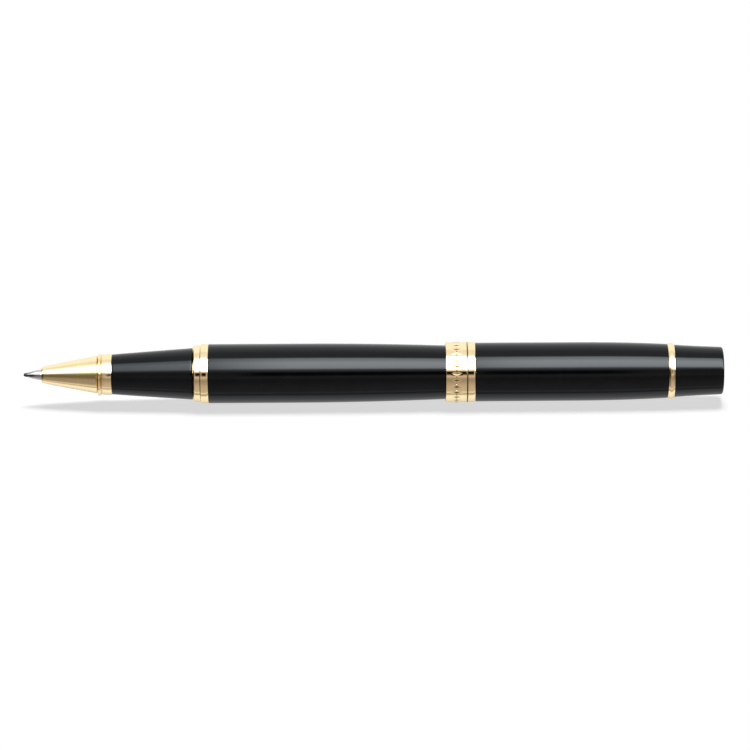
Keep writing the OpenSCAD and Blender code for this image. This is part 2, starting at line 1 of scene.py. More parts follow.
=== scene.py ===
"""The looks of a rollerball pen with its cap posted, on the frame that the CAD model gives.

Outlines are lists of (x, radius) or (x, radius, rounding) in millimetres along the pen's axis, and lathe()
turns them about X. Places come from the CAD nodes' boxes.
"""

import math

import bmesh
import bpy
from mathutils import Matrix, Vector


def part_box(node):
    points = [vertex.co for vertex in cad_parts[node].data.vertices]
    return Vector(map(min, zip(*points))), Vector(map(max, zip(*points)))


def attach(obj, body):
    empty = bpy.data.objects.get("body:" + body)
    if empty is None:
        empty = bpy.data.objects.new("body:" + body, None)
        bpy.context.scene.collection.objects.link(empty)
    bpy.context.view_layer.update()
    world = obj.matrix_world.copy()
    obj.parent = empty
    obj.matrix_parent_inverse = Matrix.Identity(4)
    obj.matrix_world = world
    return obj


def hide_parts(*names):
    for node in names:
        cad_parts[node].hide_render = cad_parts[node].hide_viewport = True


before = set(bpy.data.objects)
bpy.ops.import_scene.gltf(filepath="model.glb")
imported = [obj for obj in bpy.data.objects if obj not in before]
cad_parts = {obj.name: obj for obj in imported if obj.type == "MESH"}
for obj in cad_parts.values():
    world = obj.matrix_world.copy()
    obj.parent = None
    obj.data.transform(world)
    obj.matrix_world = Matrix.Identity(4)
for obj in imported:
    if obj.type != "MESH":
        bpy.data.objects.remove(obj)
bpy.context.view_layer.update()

MM = 0.001
SEGMENTS = 144  # round the axis
EDGE = 0.04  # rounding of a sharp machined edge, mm
ARC_SHARE = 0.48  # the most of an outline's side that one corner's arc may take


# ---------------------------------------------------------------- places, from the CAD nodes


def span(node):
    """(start, end, largest radius) of a turned node, in mm."""
    low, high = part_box(node)
    return low.x / MM, high.x / MM, high.z / MM


BALL = span("rolling_ball")
POINT = span("refill_point")
CONE = span("nose_cone")
GRIP = span("grip_shell")
LOOSE_RING = span("section_ring")
BARREL_RING = span("barrel_ring")
BARREL = span("barrel_shell")
BAND = span("cap_band")
CAP = span("cap_shell")
CLIP_RING = span("clip_ring")
FINIAL = span("finial")
BARREL_END = span("barrel_end")


# ---------------------------------------------------------------- mesh making


def filleted(outline, steps=5):
    """The outline with an arc in place of each corner that has a rounding as its third number."""
    points = []
    count = len(outline)
    for i, corner in enumerate(outline):
        here = Vector(corner[:2])
        if len(corner) < 3:
            points.append(here)
            continue
        before = Vector(outline[i - 1][:2]) - here
        after = Vector(outline[(i + 1) % count][:2]) - here
        angle = before.angle(after)
        reach = min(corner[2] / math.tan(angle / 2), ARC_SHARE * before.length, ARC_SHARE * after.length)
        radius = reach * math.tan(angle / 2)
        centre = here + (before.normalized() + after.normalized()).normalized() * radius / math.sin(angle / 2)
        first = here + before.normalized() * reach - centre
        last = here + after.normalized() * reach - centre
        sweep = first.angle_signed(last)
        for k in range(steps + 1):
            points.append(centre + Matrix.Rotation(-sweep * k / steps, 2) @ first)
    return [(p.x, p.y) for p in points]


def new_piece(name, mesh, body, slot, material, *nodes):
    """A piece that rides on a body and stands for CAD nodes."""
    piece = bpy.data.objects.new(name, mesh)
    bpy.context.scene.collection.objects.link(piece)
    mesh.materials.clear()
    mesh.materials.append(material)
    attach(piece, body)
    if nodes:
        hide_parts(*nodes)
    return piece


def shade(mesh, sharp_deg=32):
    """Smooth shading, split at edges that turn by more than sharp_deg."""
    bm = bmesh.new()
    bm.from_mesh(mesh)
    for face in bm.faces:
        face.smooth = True
    limit = math.radians(sharp_deg)
    for edge in bm.edges:
        edge.smooth = len(edge.link_faces) == 2 and edge.calc_face_angle(0) < limit
    bm.to_mesh(mesh)
    bm.free()


def lathe(name, outline, segments=SEGMENTS, steps=5):
    """A closed mesh turned about X from a closed outline in mm. A point at radius 0 is a pole."""
    points = filleted(outline, steps)
    vertices = []
    rings = []
    for x, r in points:
        if r < 1e-6:
            rings.append([len(vertices)])
            vertices.append((x * MM, 0.0, 0.0))
            continue
        rings.append(list(range(len(vertices), len(vertices) + segments)))
        for k in range(segments):
            a = 2 * math.pi * k / segments
            vertices.append((x * MM, r * MM * math.cos(a), r * MM * math.sin(a)))
    faces = []
    for i, ring in enumerate(rings):
        after = rings[(i + 1) % len(rings)]
        for k in range(segments):
            n = (k + 1) % segments
            if len(ring) == 1 and len(after) == 1:
                break
            if len(ring) == 1:
                faces.append((ring[0], after[n], after[k]))
            elif len(after) == 1:
                faces.append((ring[k], ring[n], after[0]))
            else:
                faces.append((ring[k], ring[n], after[n], after[k]))
    mesh = bpy.data.meshes.new(name)
    mesh.from_pydata(vertices, [], faces)
    mesh.validate()
    tidy_normals(mesh)
    shade(mesh)
    return mesh


def tidy_normals(mesh):
    """Points every face outwards."""
    bm = bmesh.new()
    bm.from_mesh(mesh)
    bmesh.ops.recalc_face_normals(bm, faces=bm.faces)
    bm.to_mesh(mesh)
    bm.free()


def cut(mesh, cutter, name):
    """The mesh less the cutter mesh, as a new mesh."""
    return combined(mesh, cutter, name, "DIFFERENCE")


def combined(mesh, other, name, operation):
    """What a boolean operation makes of two closed meshes, as a new mesh."""
    first = bpy.data.objects.new(name + "_a", mesh)
    second = bpy.data.objects.new(name + "_b", other)
    for o in (first, second):
        bpy.context.scene.collection.objects.link(o)
    step = first.modifiers.new("boolean", "BOOLEAN")
    step.operation = operation
    step.solver = "EXACT"
    step.object = second
    bpy.context.view_layer.update()
    shaped = first.evaluated_get(bpy.context.evaluated_depsgraph_get())
    result = bpy.data.meshes.new_from_object(shaped)
    result.name = name
    for o in (first, second):
        bpy.data.objects.remove(o)
    shade(result)
    return result


def steps_between(a, b, count):
    """count + 1 even steps from a to b."""
    return [a + (b - a) * i / count for i in range(count + 1)]


# ---------------------------------------------------------------- materials


class Nodes:
    """A material's node tree, with short calls for what repeats."""

    def __init__(self, name):
        self.material = bpy.data.materials.new(name)
        self.material.use_nodes = True
        self.tree = self.material.node_tree
        self.shader = self.tree.nodes["Principled BSDF"]

    def add(self, kind, **values):
        """A new node, with values for its own settings."""
        node = self.tree.nodes.new(kind)
        for key, value in values.items():
            setattr(node, key, value)
        return node

    def link(self, source, target):
        self.tree.links.new(source, target)

    def place(self):
        """The piece's own coordinates, in metres."""
        return self.add("ShaderNodeTexCoord").outputs["Object"]

    def scaled(self, scale):
        """The piece's own coordinates in mm, times a scale on each axis."""
        node = self.add("ShaderNodeMapping")
        node.inputs["Scale"].default_value = [s / MM for s in scale]
        self.link(self.place(), node.inputs["Vector"])
        return node.outputs["Vector"]

    def turned(self, scale):
        """(x, distance from the axis) in mm times a scale: what a lathe tool leaves runs along it."""
        split = self.add("ShaderNodeSeparateXYZ")
        self.link(self.place(), split.inputs[0])
        across = self.add("ShaderNodeCombineXYZ")
        self.link(split.outputs["Y"], across.inputs["Y"])
        self.link(split.outputs["Z"], across.inputs["Z"])
        length = self.add("ShaderNodeVectorMath", operation="LENGTH")
        self.link(across.outputs[0], length.inputs[0])
        joined = self.add("ShaderNodeCombineXYZ")
        self.link(split.outputs["X"], joined.inputs["X"])
        self.link(length.outputs["Value"], joined.inputs["Y"])
        node = self.add("ShaderNodeMapping")
        node.inputs["Scale"].default_value = [scale / MM] * 3
        self.link(joined.outputs[0], node.inputs["Vector"])
        return node.outputs["Vector"]

    def noise(self, vector, detail=3.0, roughness=0.5):
        """Soft noise whose lumps are about one unit of the vector across."""
        node = self.add("ShaderNodeTexNoise")
        node.inputs["Scale"].default_value = 1.0
        node.inputs["Detail"].default_value = detail
        node.inputs["Roughness"].default_value = roughness
        self.link(vector, node.inputs["Vector"])
        return node.outputs["Fac"]

    def between(self, factor, low, high):
        """A value from low to high as a noise factor goes from 0.3 to 0.7."""
        node = self.add("ShaderNodeMapRange")
        node.inputs["From Min"].default_value = 0.3
        node.inputs["From Max"].default_value = 0.7
        node.inputs["To Min"].default_value = low
        node.inputs["To Max"].default_value = high
        self.link(factor, node.inputs["Value"])
        return node.outputs["Result"]

    def colours(self, factor, low, high):
        """A colour from low to high by a noise factor."""
        node = self.add("ShaderNodeMix", data_type="RGBA")
        node.inputs["A"].default_value = (*low, 1)
        node.inputs["B"].default_value = (*high, 1)
        self.link(self.between(factor, 0, 1), node.inputs["Factor"])
        return node.outputs["Result"]

    def mixed(self, factor, first, second):
        """Two colour sockets blended by a noise factor."""
        return self.blend(self.between(factor, 0, 1), first, second)

    def blend(self, factor, first, second):
        """Two colour sockets blended by a factor from 0 to 1."""
        node = self.add("ShaderNodeMix", data_type="RGBA")
        self.link(factor, node.inputs["Factor"])
        self.link(first, node.inputs["A"])
        self.link(second, node.inputs["B"])
        return node.outputs["Result"]

    def ramp(self, factor, low, high):
        """From the low socket's value to the high number, as the factor goes from 0 to 1."""
        node = self.add("ShaderNodeMapRange")
        self.link(factor, node.inputs["Value"])
        self.link(low, node.inputs["To Min"])
        node.inputs["To Max"].default_value = high
        return node.outputs["Result"]

    def step(self, value, off, on):
        """From 0 to 1 as a value goes from off to on."""
        node = self.add("ShaderNodeMapRange", interpolation_type="SMOOTHSTEP")
        self.link(value, node.inputs["Value"])
        node.inputs["From Min"].default_value = off
        node.inputs["From Max"].default_value = on
        return node.outputs["Result"]

    def maths(self, operation, first, second):
        """A math node's result for two sockets."""
        node = self.add("ShaderNodeMath", operation=operation)
        self.link(first, node.inputs[0])
        self.link(second, node.inputs[1])
        return node.outputs[0]

    def station_and_radius(self):
        """Two sockets in mm: the place along the pen's axis, and the distance from it."""
        split = self.add("ShaderNodeSeparateXYZ")
        self.link(self.turned(1), split.inputs[0])
        return split.outputs["X"], split.outputs["Y"]

    def sunk(self, start, end, radius):
        """1 below a turned surface between two stations, and in the bore under it, and 0 on it. All in mm."""
        x, r = self.station_and_radius()
        inside = self.maths("MULTIPLY", self.step(x, start, start + 0.05), self.step(x, end, end - 0.05))
        cut_in = self.maths("MULTIPLY", self.step(r, radius - 0.012, radius - 0.05), inside)
        return self.maths("MAXIMUM", cut_in, self.step(r, radius - 0.22, radius - 0.28))

    def bump(self, height, distance, under=None):
        """Bump whose full height is distance, in mm."""
        node = self.add("ShaderNodeBump")
        node.inputs["Strength"].default_value = 1.0
        node.inputs["Distance"].default_value = distance * MM
        self.link(height, node.inputs["Height"])
        if under is not None:
            self.link(under, node.inputs["Normal"])
        return node.outputs["Normal"]

    def set(self, **values):
        """Values on the shader's own sockets. An underscore in a name is a space."""
        for key, value in values.items():
            self.shader.inputs[key.replace("_", " ")].default_value = value

    def finish(self, colour, roughness, normal):
        """The material, with these sockets linked to its shader."""
        for source, name in ((colour, "Base Color"), (roughness, "Roughness"), (normal, "Normal")):
            self.link(source, self.shader.inputs[name])
        return self.material


def lacquer(name, orange_peel):
    """Deep gloss black: faint depth in the colour, orange peel, and a haze of fine polishing marks."""
    m = Nodes(name)
    m.set(IOR=1.3, Specular_Tint=(0.88, 0.95, 1.0, 1))
    depth = m.noise(m.scaled((0.35, 0.35, 0.35)), 2)
    marks = m.noise(m.turned(9), 4, 0.7)
    peel = m.noise(m.scaled((0.8, 0.8, 0.8)), 1.5)
    dust = m.noise(m.scaled((7, 7, 7)), 3)
    normal = m.bump(peel, orange_peel)
    normal = m.bump(dust, 0.0002, normal)
    return m.finish(
        m.colours(depth, (0.0026, 0.0032, 0.0040), (0.0048, 0.0056, 0.0066)),
        m.between(marks, 0.05, 0.09),
        normal,
    )


TARNISH_AND_PAINTED_SHADE = ((0.16, 0.10, 0.036), (0.30, 0.20, 0.08))  # tarnish in the band's groove and engraving, with painted shade there and in its bore
TARNISH_AND_SHADE_ROUGHNESS = 0.42
INK_STAIN = ((0.030, 0.030, 0.036), (0.055, 0.055, 0.064))
INK_ROUGHNESS = 0.30


def gold(name, lines, roughness, engraved=None):
    """Pale gold plate over turned brass: fine lines round the axis, and a slight drift in tone. Where
    engraved gives (start, end, surface radius) in mm, what is cut into that surface is darkened with tarnish
    and painted shade, and the bore under it with painted shade."""
    m = Nodes(name)
    m.set(Metallic=1.0)
    drift = m.noise(m.scaled((0.25, 0.25, 0.25)), 3)
    coarse = m.noise(m.turned(2.6), 3, 0.7)
    fine = m.noise(m.turned(14), 2, 0.6)
    plate = m.colours(drift, (0.91, 0.74, 0.44), (0.96, 0.79, 0.49))
    worked = m.colours(coarse, (0.82, 0.65, 0.37), (0.99, 0.83, 0.52))
    normal = m.bump(coarse, lines)
    normal = m.bump(fine, lines * 0.35, normal)
    colour = m.mixed(coarse, plate, worked)
    dullness = m.between(fine, roughness * 0.7, roughness * 1.4)
    if engraved:
        # painted shade: the cuts are darkened partly as tarnish and partly as shade, and the bore under them
        # as shade
        sunk = m.sunk(*engraved)
        colour = m.blend(sunk, colour, m.colours(drift, *TARNISH_AND_PAINTED_SHADE))
        dullness = m.ramp(sunk, dullness, TARNISH_AND_SHADE_ROUGHNESS)
    return m.finish(colour, dullness, normal)


def turned_metal(name, low, high, roughness, lines, inked=None):
    """Bare metal from the lathe. Where inked gives (start, end) in mm, ink has darkened it from its start and
    fades out to its end."""
    m = Nodes(name)
    m.set(Metallic=1.0, Anisotropic=0.4)
    stain = m.noise(m.scaled((0.5, 0.5, 0.5)), 4, 0.6)
    tool = m.noise(m.turned(8), 3, 0.65)
    colour = m.colours(stain, low, high)
    dullness = m.between(tool, roughness * 0.75, roughness * 1.35)
    if inked:
        x, _ = m.station_and_radius()
        wet = m.step(x, inked[1], inked[0])
        colour = m.blend(wet, colour, m.colours(stain, *INK_STAIN))
        dullness = m.ramp(wet, dullness, INK_ROUGHNESS)
    return m.finish(colour, dullness, m.bump(tool, lines))


def drawn_metal(name, low, high, roughness):
    """Tube or wire that was drawn through a die: marks along its length."""
    m = Nodes(name)
    m.set(Metallic=1.0, Anisotropic=0.3)
    stain = m.noise(m.scaled((0.3, 0.9, 0.9)), 4, 0.6)
    streaks = m.noise(m.scaled((0.15, 9, 9)), 4, 0.6)
    return m.finish(
        m.colours(stain, low, high),
        m.between(streaks, roughness * 0.7, roughness * 1.4),
        m.bump(streaks, 0.002),
    )


def moulded(name, low, high, roughness):
    """Injection-moulded plastic: a fine spark-eroded skin and faint flow marks."""
    m = Nodes(name)
    m.set(IOR=1.47)
    flow = m.noise(m.scaled((0.12, 0.4, 0.4)), 3)
    skin = m.noise(m.scaled((11, 11, 11)), 3, 0.6)
    return m.finish(
        m.colours(flow, low, high),
        m.between(skin, roughness * 0.85, roughness * 1.2),
        m.bump(skin, 0.004),
    )


def fibre(name, low, high):
    """Bonded fibres that run along the pen, wet with ink."""
    m = Nodes(name)
    m.set(Sheen_Weight=0.25, Sheen_Roughness=0.5)
    threads = m.noise(m.scaled((0.5, 16, 16)), 5, 0.7)
    wet = m.noise(m.scaled((0.4, 1.2, 1.2)), 3)
    return m.finish(m.colours(threads, low, high), m.between(wet, 0.35, 0.8), m.bump(threads, 0.02))


LACQUER = lacquer("black_lacquer", 0.0016)
RESIN = lacquer("black_resin", 0.001)
GOLD = gold("gold_plate", 0.0006, 0.05)
GOLD_NOSE = gold("gold_nose", 0.0008, 0.13)
# its groove and engraving get tarnish with painted shade, and its bore painted shade
GOLD_BAND = gold("gold_band", 0.0006, 0.05, (BAND[0] + 0.3, BAND[0] + 5, BAND[2]))
GOLD_CLIP = gold("gold_clip", 0.0005, 0.07)
POINT_STEEL = turned_metal("point_steel", (0.42, 0.42, 0.43), (0.60, 0.60, 0.61), 0.16, 0.001, (0.4, 1.6))
CARBIDE = turned_metal("ball_carbide", (0.02, 0.02, 0.026), (0.05, 0.05, 0.06), 0.34, 0.0004)
BRASS = turned_metal("brass", (0.66, 0.48, 0.20), (0.80, 0.62, 0.31), 0.24, 0.003)
TUBE_STEEL = drawn_metal("tube_steel", (0.58, 0.59, 0.60), (0.72, 0.73, 0.74), 0.26)
SPRING_STEEL = drawn_metal("spring_steel", (0.50, 0.51, 0.53), (0.68, 0.69, 0.71), 0.18)
CLUTCH_STEEL = drawn_metal("clutch_steel", (0.52, 0.51, 0.48), (0.66, 0.65, 0.61), 0.30)
REFILL_PLASTIC = moulded("refill_plastic", (0.70, 0.71, 0.70), (0.80, 0.81, 0.79), 0.38)
GUIDE_PLASTIC = moulded("guide_plastic", (0.020, 0.020, 0.022), (0.035, 0.035, 0.038), 0.42)
INNER_PLASTIC = moulded("inner_plastic", (0.34, 0.34, 0.32), (0.44, 0.44, 0.42), 0.36)
INK_FIBRE = fibre("ink_fibre", (0.004, 0.005, 0.03), (0.02, 0.025, 0.09))
WICK_FIBRE = fibre("wick_fibre", (0.006, 0.007, 0.04), (0.03, 0.035, 0.12))


# ---------------------------------------------------------------- the refill's point


def make_ball():
    """The carbide ball, turned from a half circle."""
    radius = BALL[2]
    turns = [math.pi * i / 24 for i in range(25)]
    arc = [(radius - radius * math.cos(a), radius * math.sin(a)) for a in turns]
    arc[0] = (arc[0][0], 0)
    arc[-1] = (arc[-1][0], 0)
    return new_piece("ball", lathe("ball", arc, 48), "ball", "ball_carbide", CARBIDE, "rolling_ball")


def make_point():
    """The steel point: a crimped lip over the ball, an ogive, a straight part with a fine groove, a flange
    that stops against the refill's nose, and a spigot."""
    start, end, flange = POINT
    radius, groove, spigot = 1.11, 0.04, 1.2
    flange_x, spigot_x = 8.0, 9.0
    channel, channel_end, wick_bore = 0.14, 2.4, 0.59  # the narrow way for the ink, then room for the wick
    lip = 0.36
    ogive = [
        (0.32, 0.385), (0.8, 0.47), (1.25, 0.595), (1.75, 0.76), (2.2, 0.885), (2.65, 0.985), (3.1, 1.06),
    ]
    outline = [
        (0.72, channel), (0.72, 0.2), (0.60, 0.27), (0.45, 0.35),  # the seat behind the ball
        (BALL[2], lip), (start, lip - 0.024), (start, lip - 0.008, 0.01),
        *[(x, r, 0.6) for x, r in ogive],
        (3.6, radius, 0.5),
        (4.9, radius), (4.95, radius - groove), (5.1, radius - groove), (5.15, radius),
        (flange_x, radius), (flange_x, flange, EDGE), (spigot_x, flange, EDGE), (spigot_x, spigot),
        (end, spigot, EDGE), (end, wick_bore), (channel_end, wick_bore), (channel_end, channel),
    ]
    mesh = lathe("point", outline, 96, 4)
    return new_piece("steel_point", mesh, "refill", "point_steel", POINT_STEEL, "refill_point")


# ---------------------------------------------------------------- the front section


def make_cone():
    """The gilt nose: mouth, cone, bead, collar, and the stepped bore that seats the refill."""
    start, end, _ = CONE
    mouth, rear, length, crown = 1.7, 3.98, 11.58, 0.06
    bead_x = start + length
    collar_x = bead_x + 1.17
    grip_x = GRIP[0] - 0.02
    bead = 4.45
    spigot, rear_bore, nose_bore, mouth_bore = 3.45, 2.75, 2.05, 1.24
    rear_bore_x, nose_bore_x, mouth_bore_x = 16.88, 7.5, 6.9

    def outside(x):
        u = (x - start) / length
        return mouth + (rear - mouth) * u + 4 * crown * u * (1 - u)

    outline = [
        (start, mouth_bore, 0.05), (start, mouth, 0.16),
        *[(x, outside(x)) for x in steps_between(start + 0.6, bead_x - 0.12, 14)],
        (bead_x - 0.02, rear, 0.03), (bead_x + 0.1, rear - 0.17, 0.03), (bead_x + 0.4, bead, 0.2),
        (bead_x + 0.92, bead, 0.34), (bead_x + 1.1, 4.1, 0.06), (collar_x, 4.06),
        (collar_x + 0.06, 4.27, 0.12), (grip_x, 4.35, 0.1),
        (grip_x, spigot), (end, spigot, EDGE), (end, rear_bore, EDGE), (rear_bore_x, rear_bore),
        (rear_bore_x, nose_bore, EDGE), (nose_bore_x, nose_bore), (mouth_bore_x, mouth_bore),
    ]
    return new_piece("nose", lathe("nose", outline), "section", "gold_plate", GOLD_NOSE, "nose_cone")


def make_grip():
    """The black grip, slightly crowned, with softly broken ends."""
    start, end, _ = GRIP
    front, rear, length, crown = 4.24, 5.47, 17, 3e-4
    bore, rear_bore, rear_bore_x = 3.47, 4.07, 23.6
    zero = start - 0.02

    def outside(x):
        u = x - zero
        return front + (rear - front + crown * length * length) * u / length - crown * u * u

    outline = [
        (start, bore), (start, outside(start), 0.1),
        *[(x, outside(x)) for x in steps_between(start + 0.5, end - 0.5, 24)],
        (end, outside(end), 0.16), (end, rear_bore), (rear_bore_x, rear_bore), (rear_bore_x, bore),
    ]
    return new_piece("grip", lathe("grip", outline), "section", "black_resin", RESIN, "grip_shell")


def make_loose_ring():
    """The narrow ring in front of the barrel, rounded on its front edge."""
    start, end, radius = LOOSE_RING
    bore, rear_bore, rear_bore_x = 4.9, 5.16, 36.45
    outline = [
        (start, bore, EDGE), (start, radius, 0.55), (end, radius, 0.08), (end, rear_bore, EDGE),
        (rear_bore_x, rear_bore), (rear_bore_x, bore, EDGE),
    ]
    mesh = lathe("loose_ring", outline, steps=8)
    return new_piece("loose_ring", mesh, "loose_ring", "gold_plate", GOLD, "section_ring")


def make_barrel_ring():
    """The ring on the barrel's front edge. It falls a little towards the barrel."""
    start, end, radius = BARREL_RING
    bore = 5.3
    outline = [
        (start, bore, EDGE), (start, radius, 0.13), (end - 0.35, radius, 0.6), (end, radius - 0.09, 0.12),
        (end, bore, EDGE),
    ]
    mesh = lathe("barrel_ring", outline, steps=8)
    return new_piece("front_ring", mesh, "barrel", "gold_plate", GOLD, "barrel_ring")


# ---------------------------------------------------------------- the barrel


BARREL_STRAIGHT = 19  # length of the barrel's straight front part
BARREL_BOW = 6.05e-4


def barrel_out(x):
    """Outer radius of the barrel: straight, then a parabola."""
    return BARREL[2] - BARREL_BOW * max(0.0, x - BARREL[0] - BARREL_STRAIGHT) ** 2


def make_barrel():
    """The barrel's lacquered tube."""
    start, end, radius = BARREL
    wall = 0.55
    stations = steps_between(start + BARREL_STRAIGHT, end - 0.1, 48)
    outline = [
        (start, radius - wall), (start, radius, 0.08), *[(x, barrel_out(x)) for x in stations],
        (end, barrel_out(end), 0.05), (end, barrel_out(end) - wall),
        *[(x, barrel_out(x) - wall) for x in reversed(stations[::6])],
    ]
    mesh = lathe("barrel", outline)
    return new_piece("barrel_tube", mesh, "barrel", "black_lacquer", LACQUER, "barrel_shell")


def make_barrel_end():
    """The plug that shows when the cap is off: a domed end with a small centre dimple."""
    start, end, radius = BARREL_END
    boss, boss_end = 3.18, 115.97
    spigot, shoulder = radius - 0.57, 116.47
    dimple, dimple_depth = 1.1, 0.12
    outline = [
        (start, 0), (start, boss, 0.1), (boss_end, boss), (boss_end, spigot, EDGE), (shoulder, spigot),
        (shoulder, radius, 0.05), (end, radius - 0.08, 0.75), (end, dimple, EDGE),
        (end - dimple_depth, dimple - 0.2, 0.1), (end - dimple_depth, 0),
    ]
    mesh = lathe("tail_plug", outline, steps=8)
    return new_piece("tail_plug", mesh, "barrel", "black_resin", RESIN, "barrel_end")


# ---------------------------------------------------------------- the cap


CAP_DRAFT = 0.0015
CAP_BOW = 1.42e-3
CAP_BOW_START = 118


def cap_out(x):
    """Outer radius of the cap behind its band: nearly straight, then a parabola."""
    return CAP[2] - CAP_DRAFT * (x - BAND[1]) - CAP_BOW * max(0.0, x - CAP_BOW_START) ** 2


LOZENGE_RIM = [(-0.9, 0), (0, -0.375), (0.9, 0), (0, 0.375)]
DOT_RIM = [(0.16 * math.cos(a), 0.16 * math.sin(a)) for a in steps_between(0, 2 * math.pi, 12)[:-1]]
PIT_PROUD = 0.06  # how far a pit's cutter stands out of the surface


def pit(x, angle, radius, depth, rim, top_scale, floor_scale):
    """Corner points of the cutter for one engraved pit: its rim of (along, across) points, enlarged over the
    surface and shrunk at its floor."""
    spin = Matrix.Rotation(angle, 3, "X")
    return [
        spin @ Vector((x + along * scale, across * scale, radius + level))
        for level, scale in ((PIT_PROUD, top_scale), (-depth, floor_scale))
        for along, across in rim
    ]


def ornament_cutter(x, radius, count, depth):
    """Every pit of the ornament that runs round the band: four-sided lozenges, with dots between them."""
    bm = bmesh.new()
    for k in range(count):
        for corners in (
            pit(x, 2 * math.pi * k / count, radius, depth, LOZENGE_RIM, 1.5, 0.12),
            pit(x, 2 * math.pi * (k + 0.5) / count, radius, depth, DOT_RIM, 1.3, 0.5),
        ):
            half = len(corners) // 2
            made = [bm.verts.new(c * MM) for c in corners]
            top, floor = made[:half], made[half:]
            bm.faces.new(top)
            bm.faces.new(list(reversed(floor)))
            for i in range(half):
                n = (i + 1) % half
                bm.faces.new((top[i], floor[i], floor[n], top[n]))
    bmesh.ops.recalc_face_normals(bm, faces=bm.faces)
    mesh = bpy.data.meshes.new("ornament")
    bm.to_mesh(mesh)
    bm.free()
    return mesh


WIDE_STEP = 0.72 * 6.35  # length of the band's wide step, up to its groove


def make_band():
    """The gilt band: a wide step with a row of engraved lozenges, a V groove, and a narrow step."""
    start, end, radius = BAND
    groove = start + WIDE_STEP
    bore = 6.08
    outline = [
        (start, bore, 0.05), (start, radius, 0.16), (start + 1.1, radius), (groove - 0.9, radius),
        (groove - 0.15, radius, 0.04), (groove, radius - 0.13, 0.03), (groove + 0.15, radius, 0.04),
        (end - 0.4, radius, 0.5), (end - 0.12, radius - 0.06, 0.2), (end, cap_out(end) - 0.05, 0.06),
        (end, bore, EDGE),
    ]
    mesh = lathe("band", outline, 336, 6)
    mesh = cut(mesh, ornament_cutter((start + groove) / 2, radius, 28, 0.1), "band")
    return new_piece("mouth_band", mesh, "cap", "gold_plate", GOLD_BAND, "cap_band")


CLIP_ANGLE = 52  # how far the clip lies from straight down, to the far side
CLIP_TURN = Matrix.Rotation(math.radians(180 + CLIP_ANGLE), 4, "X")  # from clip straight up to where it lies


def rounded_block(low, high, radius):
    """A box mesh in mm with rounded upright edges, from its corners."""
    bm = bmesh.new()
    bmesh.ops.create_cube(bm, size=1)
    for v in bm.verts:
        v.co = Vector(a + (b - a) * (c + 0.5) for a, b, c in zip(low, high, v.co)) * MM
    upright = [e for e in bm.edges if abs(e.verts[0].co.z - e.verts[1].co.z) > 1e-7]
    bmesh.ops.bevel(bm, geom=upright, offset=radius * MM, segments=4, profile=0.5, affect="EDGES")
    mesh = bpy.data.meshes.new("block")
    bm.to_mesh(mesh)
    bm.free()
    return mesh


def make_cap():
    """The cap's lacquered tube, with its slot for the neck of the clip."""
    start, end, radius = CAP
    band_end = BAND[1]
    shoulder = band_end + 0.02
    under_band = 6.06
    mouth_bore, clutch_bore, bore, top_bore = 5.73, 5.85, 5.72, 5.35
    clutch_x, clutch_end, top_bore_x = 91.15, 103.25, 122.9
    stations = steps_between(CAP_BOW_START, end - 0.15, 36)
    outline = [
        (start, mouth_bore, EDGE), (start, under_band, EDGE), (shoulder, under_band),
        (shoulder, radius, 0.08),
        *[(x, cap_out(x)) for x in stations],
        (end, cap_out(end), 0.14), (end, top_bore), (top_bore_x, top_bore), (top_bore_x, bore),
        (clutch_end, bore), (clutch_end, clutch_bore), (clutch_x, clutch_bore), (clutch_x, mouth_bore),
    ]
    mesh = lathe("cap", outline)
    slot = rounded_block((130.8, -0.97, 4), (133.5, 0.97, 8), 0.3)
    slot.transform(CLIP_TURN)
    mesh = cut(mesh, slot, "cap")
    return new_piece("cap_tube", mesh, "cap", "black_lacquer", LACQUER, "cap_shell")


def make_clip_ring():
    """The thin crowned ring before the end piece."""
    start, end, radius = CLIP_RING
    middle = (start + end) / 2
    bore, shoulder = 4.8, radius - 0.17
    bulge = 1.2  # radius of the crown
    arc = [math.radians(a) for a in steps_between(115, 65, 14)]
    outline = [
        (start, bore, EDGE), (start, shoulder, 0.12),
        *[(middle + bulge * math.cos(a), radius - bulge + bulge * math.sin(a)) for a in arc],
        (end, shoulder, 0.12), (end, bore, EDGE),
    ]
    mesh = lathe("clip_ring", outline, steps=8)
    return new_piece("cap_ring", mesh, "cap", "gold_plate", GOLD, "clip_ring")


def make_finial():
    """The black end piece: slightly hollow sides, a rounded edge, a flat end, and a bore for its stud."""
    start, end, _ = FINIAL
    shoulder = CLIP_RING[1] + 0.02
    spigot, stud_bore, stud_end = 4.78, 1.51, 143.1
    front, rear, edge, hollow = 5.55, 5.07, 1.05, 1.9e-3
    run = end - edge - shoulder

    def outside(x):
        u = x - shoulder
        return front - (front - rear + hollow * run * run) * u / run + hollow * u * u

    outline = [
        (start, stud_bore), (start, spigot, EDGE), (shoulder, spigot), (shoulder, front, 0.16),
        *[(x, outside(x)) for x in steps_between(shoulder + 0.4, end - edge, 20)],
        (end, rear - 0.05, edge * 0.95), (end, 0), (stud_end, 0), (stud_end, stud_bore),
    ]
    mesh = lathe("finial", outline, steps=12)
    return new_piece("end_piece", mesh, "cap", "black_resin", RESIN, "finial")


# ---------------------------------------------------------------- the clip, made straight up and then turned


CLIP_TIP, CLIP_HEAD = 98.8, 135.4
TIP_HALF, HEAD_HALF = 1.3, 1.9
CLIP_THICK = 1.2
THIN_REACH, THIN_DEPTH = 0.5, 0.42  # how near its ends the bar thins, and by how much on either face


